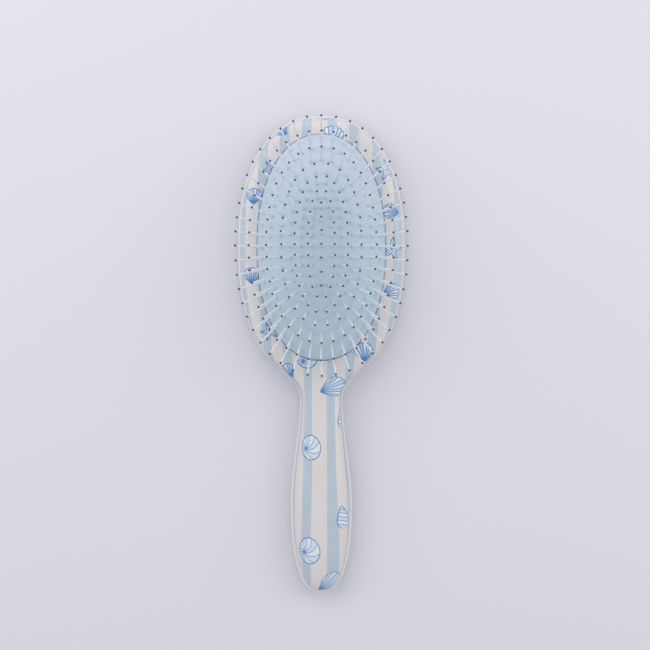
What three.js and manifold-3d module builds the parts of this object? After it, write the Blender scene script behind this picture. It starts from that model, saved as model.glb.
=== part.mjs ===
// A cushioned detangling hairbrush. Two moulded shells make the paddle and the handle, a domed
// rubber cushion closes an air chamber in the paddle, and ball-tipped nylon pins stand through the
// cushion in a centre row and six oval rings. Each run of pins is one moulding: its pins grow from a
// thin runner that lies under the rubber.
//
// Millimetres. +X is across the brush, +Y runs from the handle's end to the top of the head, and +Z
// is the way the pins point. The origin is on the surface that the brush lies on, under its middle.

import * as THREE from 'three';
import { ParametricGeometry } from 'three/addons/geometries/ParametricGeometry.js';
import { mergeVertices } from 'three/addons/utils/BufferGeometryUtils.js';
import Module from 'manifold-3d';

const wasm = await Module();
wasm.setup();

// ---- Driving dimensions ----

const BRUSH_LENGTH = 238;
const WALL = 2;
const PARTING_Z = 6.5;
const PARTING_GAP = 0.3;
const FIT_GAP = 0.3;

// The outline. Distances called "down" are measured from the head's centre towards the handle.
const HEAD = { centreY: 53.1, halfWidth: 41.5, tail: 66.9, exponent: 2.3 };
const NECK = { halfWidth: 10.5, start: 52, end: 74.5 };
const BELLY = { halfWidth: 15.25, down: 128, lengthPower: 2.35, widthPower: 2.5 };

// How far the front rises above the parting plane and the back drops below it. The back's drop is
// cut off at the rest plane, which leaves a flat patch to lie on. The front's outline is drawn in
// from the back's, which leaves the back's rim showing round it.
const FRONT = { rim: 1.1, headRise: 5.5, handleRise: 8, headPower: 14, handlePower: 2.6, edgePower: 2.5 };
const BACK = { rim: 0, headRise: 6.9, handleRise: 6.8, headPower: 5, handlePower: 2.6, edgePower: 2 };
const CHANGE = { start: 45, end: 110 };

// The rubber cushion: a dome on a short neck, with a flange that is clamped under the front shell.
const CUSHION = {
  halfWidth: 31.9, halfLength: 56.2, exponent: 2.2,
  rimZ: 11.5, rise: 12, domePower: 2.9, wall: 1.3,
  flange: 2.3, flangeTopZ: 8.95, flangeThickness: 1.2,
};
const CLAMP = { thickness: 1.3, width: 2.6 };
const SEAT = { bottomZ: 2.6, width: 1.6 };

// The pins, with three-sided shafts and tips. Radii reach to the corners of a section. Each ring gives
// the half-width and half-length of the oval that its pins leave the rubber on, and of the wider oval
// that their ball tips lie on.
const PIN = { length: 17, shaftRadius: 0.6, ballRadius: 0.95, sides: 3, clearance: 0.75 };
const RUNNER = { halfWidth: 0.85, halfThickness: 0.5, overhang: 0.9, gap: 0.7, bite: 0.2 };
const CENTRE_ROW = { pins: 7, basePitch: 6.13, tipPitch: 6.62 };
const RING_EXPONENT = 2.15;
const RINGS = [
  { pins: 22, strips: 4, base: [5.0, 24.8], tip: [6.5, 26.5], onAxis: false },
  { pins: 30, strips: 6, base: [10.2, 31.4], tip: [12.9, 33.1], onAxis: false },
  { pins: 30, strips: 6, base: [15.4, 36.4], tip: [19.5, 39.4], onAxis: false },
  { pins: 40, strips: 8, base: [20.1, 42.9], tip: [26.7, 47.6], onAxis: true },
  { pins: 48, strips: 8, base: [25.2, 49.2], tip: [35.3, 55.8], onAxis: true },
  { pins: 48, strips: 8, base: [29.5, 54.3], tip: [42.2, 63.6], onAxis: true },
];

// How finely the curved skins are divided.
const SHELL_STEPS = { length: 26, across: 10 };
const CAVITY_STEPS = { length: 20, across: 8 };
const CUSHION_LOOPS = [0, 0.48, 0.77, 1];
const OVAL_STEPS = 22;

// ---- Materials ----

const PLASTIC = new THREE.MeshStandardMaterial({ color: 0xd6d3d6, roughness: 0.3, metalness: 0 });
const INNER_PLASTIC = new THREE.MeshStandardMaterial({ color: 0xe4e2e0, roughness: 0.5, metalness: 0 });
const RUBBER = new THREE.MeshStandardMaterial({ color: 0xabbccc, roughness: 0.6, metalness: 0 });
const NYLON = new THREE.MeshStandardMaterial({ color: 0xdfe6ee, roughness: 0.35, metalness: 0 });

// ---- Small mathematics ----

const mix = (a, b, share) => a + (b - a) * share;

function smoothShare(value, start, end) {
  const share = THREE.MathUtils.clamp((value - start) / (end - start), 0, 1);
  return share * share * (3 - 2 * share);
}

// The height of a rounded end or edge at a share, 0 to 1, of the way to it.
const roundOff = (share, power, edgePower) => Math.max(0, 1 - Math.min(1, share) ** power) ** (1 / edgePower);

// A stretched circle with fuller shoulders, from its top round through +X.
class Oval extends THREE.Curve {
  constructor(halfWidth, halfLength, exponent) {
    super();
    this.half = [halfWidth, halfLength];
    this.exponent = exponent;
    this.arcLengthDivisions = 720;
  }

  getPoint(share, target = new THREE.Vector2()) {
    const angle = share * Math.PI * 2;
    const bulge = (value) => Math.sign(value) * Math.abs(value) ** (2 / this.exponent);
    return target.set(this.half[0] * bulge(Math.sin(angle)), this.half[1] * bulge(Math.cos(angle)));
  }
}

// ---- Solids ----

// The solid inside a closed geometry, whichever way round its triangles were listed.
function solidOf(geometry) {
  const bare = geometry.clone();
  bare.deleteAttribute('normal');
  bare.deleteAttribute('uv');
  const merged = mergeVertices(bare, 1e-4);
  const corners = merged.index.array;
  const triangles = [];
  for (let i = 0; i < corners.length; i += 3) {
    const [a, b, c] = [corners[i], corners[i + 1], corners[i + 2]];
    if (a !== b && b !== c && c !== a) {
      triangles.push(a, b, c);
    }
  }
  const vertProperties = new Float32Array(merged.attributes.position.array);
  const build = (list) =>
    new wasm.Manifold(new wasm.Mesh({ numProp: 3, vertProperties, triVerts: new Uint32Array(list) }));
  const solid = build(triangles);
  return solid.volume() < 0 ? build(triangles.reverse()) : solid;
}

function geometryOf(solid) {
  const mesh = solid.getMesh();
  const geometry = new THREE.BufferGeometry();
  geometry.setAttribute('position', new THREE.BufferAttribute(new Float32Array(mesh.vertProperties), 3));
  geometry.setIndex(new THREE.BufferAttribute(new Uint32Array(mesh.triVerts), 1));
  geometry.computeVertexNormals();
  return geometry;
}

function meshOf(name, solid, material) {
  const mesh = new THREE.Mesh(geometryOf(solid), material);
  mesh.name = name;
  return mesh;
}

// A closed skin through a chain of loops. pointAt(step, share, target) gives the point at a share of
// the way round loop number step, and a loop that shrinks to one point closes an end.
function skin(pointAt, steps, around) {
  const place = (u, v, target) =>
    pointAt(Math.round(v * steps), (Math.round(u * around) % around) / around, target);
  return solidOf(new ParametricGeometry(place, around, steps));
}

// A body turned on the head's centre in ovals instead of circles. Its profile is a chain of loops, each
// with the oval's half-width, half-length and height, that ends on the centre line or where it began.
function ovalTurned(loops) {
  const pointAt = (step, share, target) => {
    const { half, z } = loops[step];
    const place = new Oval(...half, CUSHION.exponent).getPoint(share);
    return target.set(place.x, place.y + HEAD.centreY, z);
  };
  return skin(pointAt, loops.length - 1, OVAL_STEPS);
}

// A loop that keeps a distance outside the cushion's neck.
const cushionLoop = (grow, z) => ({ half: [CUSHION.halfWidth + grow, CUSHION.halfLength + grow], z });

const centreLoop = (z) => ({ half: [0, 0], z });

function ovalRing(outerGrow, innerGrow, bottomZ, topZ) {
  return ovalTurned([
    cushionLoop(outerGrow, bottomZ),
    cushionLoop(outerGrow, topZ),
    cushionLoop(innerGrow, topZ),
    cushionLoop(innerGrow, bottomZ),
    cushionLoop(outerGrow, bottomZ),
  ]);
}

function ovalBlock(grow, bottomZ, topZ) {
  return ovalTurned([centreLoop(bottomZ), cushionLoop(grow, bottomZ), cushionLoop(grow, topZ), centreLoop(topZ)]);
}

// ---- The paddle's and handle's shape ----

const HEAD_TOP = BRUSH_LENGTH / 2 - HEAD.centreY;
const HANDLE_DOWN = BRUSH_LENGTH / 2 + HEAD.centreY;

const headHalfWidth = (down) =>
  HEAD.halfWidth * roundOff(Math.abs(down) / (down < 0 ? HEAD_TOP : HEAD.tail), HEAD.exponent, HEAD.exponent);

function handleHalfWidth(down) {
  const endShare = Math.max(0, (down - BELLY.down) / (HANDLE_DOWN - BELLY.down));
  const swell = smoothShare(down, NECK.end, BELLY.down);
  const full = mix(NECK.halfWidth, BELLY.halfWidth, swell);
  return full * roundOff(endShare, BELLY.lengthPower, BELLY.widthPower);
}

// The sweep from the head's oval into the neck, which leaves the oval with its own slope.
function neckHalfWidth(down) {
  const span = NECK.end - NECK.start;
  const share = (down - NECK.start) / span;
  const from = headHalfWidth(NECK.start);
  const slope = (headHalfWidth(NECK.start) - headHalfWidth(NECK.start - 1)) * span;
  const keep = (1 + 2 * share) * (1 - share) ** 2;
  return from * keep + slope * share * (1 - share) ** 2 + NECK.halfWidth * (1 - keep);
}

function halfWidth(y) {
  const down = HEAD.centreY - y;
  if (down <= NECK.start) {
    return headHalfWidth(down);
  }
  return down <= NECK.end ? neckHalfWidth(down) : handleHalfWidth(down);
}

// The height of a shell's skin over the parting plane, at a share of the half-width from the middle.
function skinRise(side, y, acrossShare, inset) {
  const down = HEAD.centreY - y;
  const change = smoothShare(down, CHANGE.start, CHANGE.end);
  const power = mix(side.headPower, side.handlePower, change);
  const rise = mix(side.headRise, side.handleRise, change) - inset;
  const headEnd = roundOff(Math.max(0, -down) / HEAD_TOP, side.headPower, side.edgePower);
  const handleShare = Math.max(0, down - BELLY.down) / (HANDLE_DOWN - BELLY.down);
  const handleEnd = roundOff(handleShare, side.handlePower, side.edgePower);
  return rise * headEnd * handleEnd * roundOff(Math.abs(acrossShare), power, side.edgePower);
}

// One half of the body, solid from its skin to the parting plane. The inset shrinks it for a cavity,
// which reaches a little past the parting plane so that the shell is cut open there.
function bodyHalf(side, direction, inset, steps) {
  const planInset = side.rim + inset;
  const shrink = 1 - (2 * planInset) / BRUSH_LENGTH;
  const floorZ = PARTING_Z + direction * (inset > 0 ? -1 : PARTING_GAP / 2);
  const pointAt = (step, share, target) => {
    const y = (-Math.cos((Math.PI * step) / steps.length) * BRUSH_LENGTH) / 2;
    if (step === 0 || step === steps.length) {
      return target.set(0, y * shrink, floorZ);
    }
    const nominal = mix(HEAD.halfWidth, NECK.halfWidth, smoothShare(HEAD.centreY - y, NECK.start, NECK.end));
    const column = Math.round(share * (steps.across + 1));
    const across = -Math.cos((Math.PI * column) / steps.across);
    const x = direction * halfWidth(y) * (1 - planInset / nominal) * across;
    if (column === 0 || column === steps.across) {
      return target.set(x, y * shrink, floorZ);
    }
    const skinZ = PARTING_Z + direction * skinRise(side, y, across, inset);
    const clear = direction > 0 ? Math.max(skinZ, floorZ) : Math.min(skinZ, floorZ);
    return target.set(x, y * shrink, Math.max(clear, inset));
  };
  return skin(pointAt, steps.length, steps.across + 1);
}

function frontShell() {
  const opening = ovalBlock(FIT_GAP, PARTING_Z, PARTING_Z + 2 * FRONT.handleRise);
  const shell = bodyHalf(FRONT, 1, 0, SHELL_STEPS)
    .subtract(bodyHalf(FRONT, 1, WALL, CAVITY_STEPS))
    .subtract(opening);
  return meshOf('front_shell', shell, PLASTIC);
}

// The back shell, with the upright oval wall that the clamp ring sits on.
function backShell() {
  const clampBottomZ = CUSHION.flangeTopZ - CUSHION.flangeThickness - CLAMP.thickness - 2 * FIT_GAP;
  const seat = ovalRing(CUSHION.flange, CUSHION.flange - SEAT.width, SEAT.bottomZ, clampBottomZ);
  const shell = bodyHalf(BACK, -1, 0, SHELL_STEPS)
    .subtract(bodyHalf(BACK, -1, WALL, CAVITY_STEPS))
    .add(seat);
  return meshOf('back_shell', shell, PLASTIC);
}

function clampRing() {
  const topZ = CUSHION.flangeTopZ - CUSHION.flangeThickness - FIT_GAP;
  const ring = ovalRing(CUSHION.flange, CUSHION.flange - CLAMP.width, topZ - CLAMP.thickness, topZ);
  return meshOf('clamp_ring', ring, INNER_PLASTIC);
}

// ---- The pins' places ----

// The rubber's outer height at a place across and along the head.
function domeZ(x, y) {
  const across = (Math.abs(x) / CUSHION.halfWidth) ** CUSHION.exponent;
  const along = (Math.abs(y) / CUSHION.halfLength) ** CUSHION.exponent;
  const share = (across + along) ** (1 / CUSHION.exponent);
  return CUSHION.rimZ + CUSHION.rise * Math.max(0, 1 - share ** CUSHION.domePower);
}

// A pin leaves the rubber at a place on the base oval and leans out to its tip's place.
function pinAt(base, tip) {
  const root = new THREE.Vector3(base.x, base.y + HEAD.centreY, domeZ(base.x, base.y));
  const lean = new THREE.Vector2(tip.x - base.x, tip.y - base.y);
  const climb = Math.sqrt(PIN.length ** 2 - lean.lengthSq());
  const direction = new THREE.Vector3(lean.x, lean.y, climb).normalize();
  const depth = CUSHION.wall + RUNNER.gap + RUNNER.halfThickness;
  const foot = root.clone().addScaledVector(direction, -depth);
  return { root, direction, foot };
}

function ringPins(ring) {
  const baseOval = new Oval(...ring.base, RING_EXPONENT);
  const tipOval = new Oval(...ring.tip, RING_EXPONENT);
  return Array.from({ length: ring.pins }, (_, i) => {
    const share = (i + (ring.onAxis ? 0 : 0.5)) / ring.pins;
    return pinAt(baseOval.getPointAt(share), tipOval.getPointAt(share));
  });
}

function centrePins() {
  const middle = (CENTRE_ROW.pins - 1) / 2;
  return Array.from({ length: CENTRE_ROW.pins }, (_, i) => {
    const place = (pitch) => new THREE.Vector2(0, (middle - i) * pitch);
    return pinAt(place(CENTRE_ROW.basePitch), place(CENTRE_ROW.tipPitch));
  });
}

// The way along a run of pins at one of them, square to that pin.
function runAxes(pins, i) {
  const before = pins[Math.max(0, i - 1)].foot;
  const after = pins[Math.min(pins.length - 1, i + 1)].foot;
  const up = pins[i].direction;
  const along = after.clone().sub(before).projectOnPlane(up).normalize();
  return { along, up, side: along.clone().cross(up) };
}

// Something long and straight-sided, made upright on the origin and then stood in a pin's place.
function standAt(geometry, pin, axes) {
  const turn = new THREE.Matrix4().makeBasis(axes.along, axes.up, axes.side);
  return solidOf(geometry.applyMatrix4(turn).translate(...pin.root));
}

// ---- Pins and cushion ----

// The shaft with its ball tip, turned about +Y from inside the runner to the top of the ball.
function pinShaft() {
  const footY = -(CUSHION.wall + RUNNER.gap + RUNNER.bite);
  const profile = [
    [0, footY],
    [PIN.shaftRadius, footY],
    [PIN.shaftRadius, PIN.length - PIN.ballRadius],
    [PIN.ballRadius, PIN.length],
    [0, PIN.length + PIN.ballRadius],
  ];
  return new THREE.LatheGeometry(profile.map(([r, y]) => new THREE.Vector2(r, y)), PIN.sides);
}

// The runner under the rubber: a bar with a flat top and a keel, through the pins' feet.
function runner(pins) {
  const frames = pins.map((pin, i) => ({ at: pin.foot.clone(), ...runAxes(pins, i) }));
  frames[0].at.addScaledVector(frames[0].along, -RUNNER.overhang);
  frames.at(-1).at.addScaledVector(frames.at(-1).along, RUNNER.overhang);
  const corners = [[-1, 1], [1, 1], [0, -1]];
  const pointAt = (step, share, target) => {
    const frame = frames[THREE.MathUtils.clamp(step - 1, 0, frames.length - 1)];
    const closed = step === 0 || step === frames.length + 1;
    const [across, up] = closed ? [0, 0] : corners[Math.round(share * corners.length)];
    return target
      .copy(frame.at)
      .addScaledVector(frame.side, across * RUNNER.halfWidth)
      .addScaledVector(frame.up, up * RUNNER.halfThickness);
  };
  return skin(pointAt, frames.length + 1, corners.length);
}

function pinStrip(name, pins) {
  const shafts = pins.map((pin, i) => standAt(pinShaft(), pin, runAxes(pins, i)));
  const strip = shafts.reduce((whole, shaft) => whole.add(shaft), runner(pins));
  return meshOf(name, strip, NYLON);
}

// The bare rubber moulding, from the middle of the dome's top round the flange to its underside.
function cushionBody() {
  const flangeZ = CUSHION.flangeTopZ - CUSHION.flangeThickness;
  const dome = (inset) => CUSHION_LOOPS.map((share) => ({
    half: [share * (CUSHION.halfWidth - inset), share * (CUSHION.halfLength - inset)],
    z: CUSHION.rimZ + (CUSHION.rise - inset) * (1 - share ** CUSHION.domePower),
  }));
  const neck = [
    cushionLoop(0, CUSHION.flangeTopZ),
    cushionLoop(CUSHION.flange, CUSHION.flangeTopZ),
    cushionLoop(CUSHION.flange, flangeZ),
    cushionLoop(-CUSHION.wall, flangeZ),
  ];
  return ovalTurned([...dome(0), ...neck, ...dome(CUSHION.wall).reverse()]);
}

function cushion(runs) {
  const reach = 2 * CUSHION.wall;
  const hole = () => new THREE.CylinderGeometry(
    PIN.shaftRadius + PIN.clearance, PIN.shaftRadius + PIN.clearance, 2 * reach, PIN.sides,
  );
  const cutters = runs.flatMap((pins) => pins.map((pin, i) => standAt(hole(), pin, runAxes(pins, i))));
  return meshOf('cushion', cutters.reduce((body, cutter) => body.subtract(cutter), cushionBody()), RUBBER);
}

// ---- Assembly ----

// Each run of pins with its name: the centre row, then every ring cut into its strips.
function namedRuns() {
  const runs = [{ name: 'pin_row_centre', pins: centrePins() }];
  RINGS.forEach((ring, r) => {
    const pins = ringPins(ring);
    for (let s = 0; s < ring.strips; s += 1) {
      const from = Math.round((s * ring.pins) / ring.strips);
      const to = Math.round(((s + 1) * ring.pins) / ring.strips);
      runs.push({ name: `pin_strip_${r + 1}_${s + 1}`, pins: pins.slice(from, to) });
    }
  });
  return runs;
}

const runs = namedRuns();
const group = new THREE.Group();
group.add(frontShell(), backShell(), clampRing(), cushion(runs.map((run) => run.pins)));
runs.forEach((run) => group.add(pinStrip(run.name, run.pins)));

export default group;
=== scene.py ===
"""A cushioned detangling hairbrush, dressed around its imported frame.

Two printed shells make the paddle and the handle, a domed rubber cushion closes the paddle's air
chamber, and ball-tipped nylon pins stand through the rubber in a centre row and six oval rings.
Sizes are in millimetres and turn to metres where a mesh is made. +X is across the brush, +Y runs
from the handle's end to the top of the head, and +Z is the way the pins point.
"""

from __future__ import annotations

import logging
import math
import random
from dataclasses import dataclass, field
from enum import Enum
from typing import Any, Callable

import bpy
import numpy as np
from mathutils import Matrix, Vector
from mathutils.geometry import delaunay_2d_cdt

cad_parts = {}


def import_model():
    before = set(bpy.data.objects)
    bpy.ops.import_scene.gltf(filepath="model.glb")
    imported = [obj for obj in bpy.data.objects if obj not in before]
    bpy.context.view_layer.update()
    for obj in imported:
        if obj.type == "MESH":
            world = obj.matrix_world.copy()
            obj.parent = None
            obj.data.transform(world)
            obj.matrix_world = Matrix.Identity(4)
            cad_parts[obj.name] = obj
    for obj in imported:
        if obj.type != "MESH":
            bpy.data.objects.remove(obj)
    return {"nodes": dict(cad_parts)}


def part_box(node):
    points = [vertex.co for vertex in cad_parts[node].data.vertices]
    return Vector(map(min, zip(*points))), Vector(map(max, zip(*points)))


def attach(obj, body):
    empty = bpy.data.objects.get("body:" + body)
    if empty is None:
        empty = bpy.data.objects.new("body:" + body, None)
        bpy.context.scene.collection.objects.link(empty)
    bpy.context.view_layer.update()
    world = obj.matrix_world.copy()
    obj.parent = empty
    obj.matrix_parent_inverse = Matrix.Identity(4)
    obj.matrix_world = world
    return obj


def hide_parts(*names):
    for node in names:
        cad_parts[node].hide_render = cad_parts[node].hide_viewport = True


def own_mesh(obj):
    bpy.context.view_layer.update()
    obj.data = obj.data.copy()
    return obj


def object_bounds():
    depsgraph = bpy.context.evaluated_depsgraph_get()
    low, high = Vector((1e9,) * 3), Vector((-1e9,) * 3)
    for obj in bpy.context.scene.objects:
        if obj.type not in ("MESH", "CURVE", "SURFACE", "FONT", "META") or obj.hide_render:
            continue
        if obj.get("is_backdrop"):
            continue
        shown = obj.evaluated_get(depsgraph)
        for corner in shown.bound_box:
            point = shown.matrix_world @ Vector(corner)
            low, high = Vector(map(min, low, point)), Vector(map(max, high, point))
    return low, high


LOG = logging.getLogger("hairbrush")
MM = 0.001
FILM = "film"
COLOUR_MIX = {"out": 2, "data_type": "RGBA"}  # a Mix node's settings where it mixes colours
Socket = bpy.types.NodeSocket
Tree = bpy.types.NodeTree
Flatten = Callable[[float, float], tuple[float, float]]


class Side(Enum):
    """Which way a shell's skin swells from the parting plane."""

    FRONT = 1
    BACK = -1


class Motif(Enum):
    """The plain seaside shapes that the print is made of."""

    FAN_SHELL = "fan_shell"
    ROUND_SHELL = "round_shell"
    CONE_SHELL = "cone_shell"
    STAR = "star"


# ---- Colour, node and mesh helpers ----


def linear(hex_colour: str, alpha: float = 1.0) -> tuple[float, float, float, float]:
    """Turns an sRGB colour into linear values.

    Args:
        hex_colour: The colour as six hexadecimal digits.
        alpha: The fourth value.

    Returns:
        Linear red, green, blue and alpha.
    """
    parts = [int(hex_colour[i : i + 2], 16) / 255 for i in (0, 2, 4)]
    red, green, blue = (c / 12.92 if c <= 0.04045 else ((c + 0.055) / 1.055) ** 2.4 for c in parts)
    return red, green, blue, alpha


def noise_scale(size: float) -> float:
    """Returns the noise scale whose grains are about a size, in millimetres, across."""
    return 1 / (size * MM)


def add_node(
    tree: Tree, kind: str, *inputs: Any, out: int | str = 0, **settings: Any
) -> Socket | None:
    """Adds a node with its settings and links.

    Args:
        tree: The node tree that gets the node.
        kind: The node's type, without "ShaderNode" in front.
        inputs: A value or a socket for each input in order, None to leave one alone, or one dict of
            input name to value or socket.
        out: Which output to return.
        settings: The node's own properties.

    Returns:
        The output socket asked for, or None where the node has no outputs.
    """
    node = tree.nodes.new("ShaderNode" + kind)
    for name, value in settings.items():
        setattr(node, name, value)
    named = inputs[0] if inputs and isinstance(inputs[0], dict) else dict(enumerate(inputs))
    for key, value in named.items():
        if isinstance(value, Socket):
            tree.links.new(value, node.inputs[key])
        elif value is not None:
            node.inputs[key].default_value = value
    return node.outputs[out] if node.outputs else None


def new_material(name: str) -> tuple[bpy.types.Material, Tree]:
    """Makes an empty node material.

    Args:
        name: The material's name.

    Returns:
        The material and its node tree.
    """
    material = bpy.data.materials.new(name)
    material.use_nodes = True
    material.node_tree.nodes.clear()
    return material, material.node_tree


def finish_surface(tree: Tree, sockets: dict[str, Any]) -> None:
    """Ends a material with one principled surface.

    Args:
        tree: The material's node tree.
        sockets: Input name to value or socket.
    """
    add_node(tree, "OutputMaterial", {"Surface": add_node(tree, "BsdfPrincipled", sockets)})


def make_piece(
    name: str,
    points: np.ndarray,
    faces: list,
    material: bpy.types.Material,
    film: np.ndarray | None = None,
) -> bpy.types.Object:
    """Makes a smooth mesh piece from points in millimetres.

    Args:
        name: The piece's name.
        points: One row of x, y and z for each vertex.
        faces: Lists of vertex numbers.
        material: What the piece is made of.
        film: Where each vertex lies on the flat printed film, if the piece has one.

    Returns:
        The new object, linked to the scene.
    """
    mesh = bpy.data.meshes.new(name)
    mesh.from_pydata((points * MM).tolist(), [], faces)
    mesh.validate()
    mesh.shade_smooth()
    mesh.materials.append(material)
    if film is not None:
        lie = mesh.attributes.new(FILM, "FLOAT_VECTOR", "POINT")
        lie.data.foreach_set("vector", np.column_stack([film * MM, np.zeros(len(film))]).ravel())
    piece = bpy.data.objects.new(name, mesh)
    bpy.context.scene.collection.objects.link(piece)
    return piece


def turned_faces(rings: int, around: int, first: int = 0) -> list:
    """Lists the faces of a turned form whose ends close on one vertex each.

    Args:
        rings: How many full rings lie between the two end vertices.
        around: How many vertices a ring has.
        first: The number of the form's first vertex.

    Returns:
        Faces for vertices in the order end, ring, ring, ..., end.
    """

    def at(ring: int, step: int) -> int:
        """Returns the number of the vertex at a step round a ring."""
        return first + 1 + ring * around + step % around

    top, last = rings - 1, first + 1 + rings * around
    steps = range(around)
    faces = [(first, at(0, i + 1), at(0, i)) for i in steps]
    for r in range(top):
        faces += [(at(r, i), at(r, i + 1), at(r + 1, i + 1), at(r + 1, i)) for i in steps]
    return faces + [(last, at(top, i), at(top, i + 1)) for i in steps]


# ---- Shape formulas ----


def smooth_share(value: float, start: float, end: float) -> float:
    """Returns 0 before start, 1 after end, and an S curve between."""
    share = min(1.0, max(0.0, (value - start) / (end - start)))
    return share * share * (3 - 2 * share)


def round_off(share: float, power: float, edge_power: float) -> float:
    """Returns the height of a rounded end at a share, 0 to 1, of the way to it."""
    return max(0.0, 1 - min(1.0, share) ** power) ** (1 / edge_power)


@dataclass(frozen=True)
class Oval:
    """A stretched circle with fuller shoulders, walked from its top round through +X."""

    half_width: float
    half_length: float
    exponent: float
    walk_steps: int = 2880

    def points(self, count: int, offset: float = 0.0) -> np.ndarray:
        """Spaces points evenly along the oval.

        Args:
            count: How many points.
            offset: Where the first point lies, in steps from the top.

        Returns:
            One row of x and y for each point.
        """
        angle = np.linspace(0, 2 * math.pi, self.walk_steps + 1)
        waves = np.array([np.sin(angle), np.cos(angle)])
        x, y = np.sign(waves) * np.abs(waves) ** (2 / self.exponent)
        x, y = self.half_width * x, self.half_length * y
        walked = np.concatenate([[0], np.cumsum(np.hypot(np.diff(x), np.diff(y)))])
        wanted = (np.arange(count) + offset) / count * walked[-1]
        return np.stack([np.interp(wanted, walked, x), np.interp(wanted, walked, y)], axis=1)

    def share(self, x: float, y: float) -> float:
        """Returns how far out a place lies: 0 at the middle and 1 on the oval."""
        across, along = abs(x) / self.half_width, abs(y) / self.half_length
        return (across**self.exponent + along**self.exponent) ** (1 / self.exponent)

    def grown(self, by: float) -> Oval:
        """Returns the oval a distance further out."""
        return Oval(self.half_width + by, self.half_length + by, self.exponent)


@dataclass(frozen=True)
class BodyShape:
    """The paddle's and handle's outline and the swell of their skins, in millimetres."""

    length: float
    head_centre: float
    parting: float = 6.5
    head_half_width: float = 41.5
    head_tail: float = 66.9
    head_exponent: float = 2.3
    neck_half_width: float = 10.5
    neck_start: float = 52.0
    neck_end: float = 74.5
    belly_half_width: float = 15.25
    belly_down: float = 128.0
    end_powers: tuple[float, float] = (2.35, 2.5)
    change: tuple[float, float] = (45.0, 110.0)

    @property
    def head_top(self) -> float:
        """The distance from the head's centre to its top."""
        return self.length / 2 - self.head_centre

    @property
    def handle_down(self) -> float:
        """The distance from the head's centre to the handle's end."""
        return self.length / 2 + self.head_centre

    def head_half(self, down: float) -> float:
        """Returns the head oval's half-width at a distance down from its centre."""
        reach = self.head_top if down < 0 else self.head_tail
        share = abs(down) / reach
        return self.head_half_width * round_off(share, self.head_exponent, self.head_exponent)

    def half_width(self, y: float) -> float:
        """Works out the outline: the head's oval, a blend to the neck, and the handle's swell.

        Args:
            y: The place along the brush.

        Returns:
            The half-width there.
        """
        down = self.head_centre - y
        if down <= self.neck_start:
            return self.head_half(down)
        if down <= self.neck_end:
            span = self.neck_end - self.neck_start
            share = (down - self.neck_start) / span
            start = self.head_half(self.neck_start)
            slope = (start - self.head_half(self.neck_start - 1)) * span
            keep = (1 + 2 * share) * (1 - share) ** 2
            return start * keep + slope * share * (1 - share) ** 2 + self.neck_half_width * (1 - keep)
        swell = smooth_share(down, self.neck_end, self.belly_down)
        full = self.neck_half_width + (self.belly_half_width - self.neck_half_width) * swell
        return full * round_off(self.end_share(down), *self.end_powers)

    def end_share(self, down: float) -> float:
        """Returns the share of the way from the handle's belly to its end."""
        return max(0.0, down - self.belly_down) / (self.handle_down - self.belly_down)


@dataclass(frozen=True)
class SkinSwell:
    """How far one shell's skin swells from the parting plane, and how square its edges are."""

    head_rise: float
    handle_rise: float
    head_power: float
    handle_power: float
    edge_power: float

    def rise(self, shape: BodyShape, y: float, across: float) -> float:
        """Returns the skin's height at a place.

        Args:
            shape: The body's outline.
            y: The place along the brush.
            across: The share of the half-width from the middle.

        Returns:
            The height from the parting plane.
        """
        down = shape.head_centre - y
        change = smooth_share(down, *shape.change)
        power = self.head_power + (self.handle_power - self.head_power) * change
        rise = self.head_rise + (self.handle_rise - self.head_rise) * change
        head_end = round_off(max(0.0, -down) / shape.head_top, self.head_power, self.edge_power)
        handle_end = round_off(shape.end_share(down), self.handle_power, self.edge_power)
        return rise * head_end * handle_end * round_off(abs(across), power, self.edge_power)


# ---- Finishes ----


@dataclass(frozen=True)
class PlacedMotif:
    """One printed shape: where it lies, its size and turn, and how strongly it is filled."""

    kind: Motif
    x: float
    y: float
    radius: float
    turn: float = 0.0
    fill: float = 0.35
    aspect: float = 1.0


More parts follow.
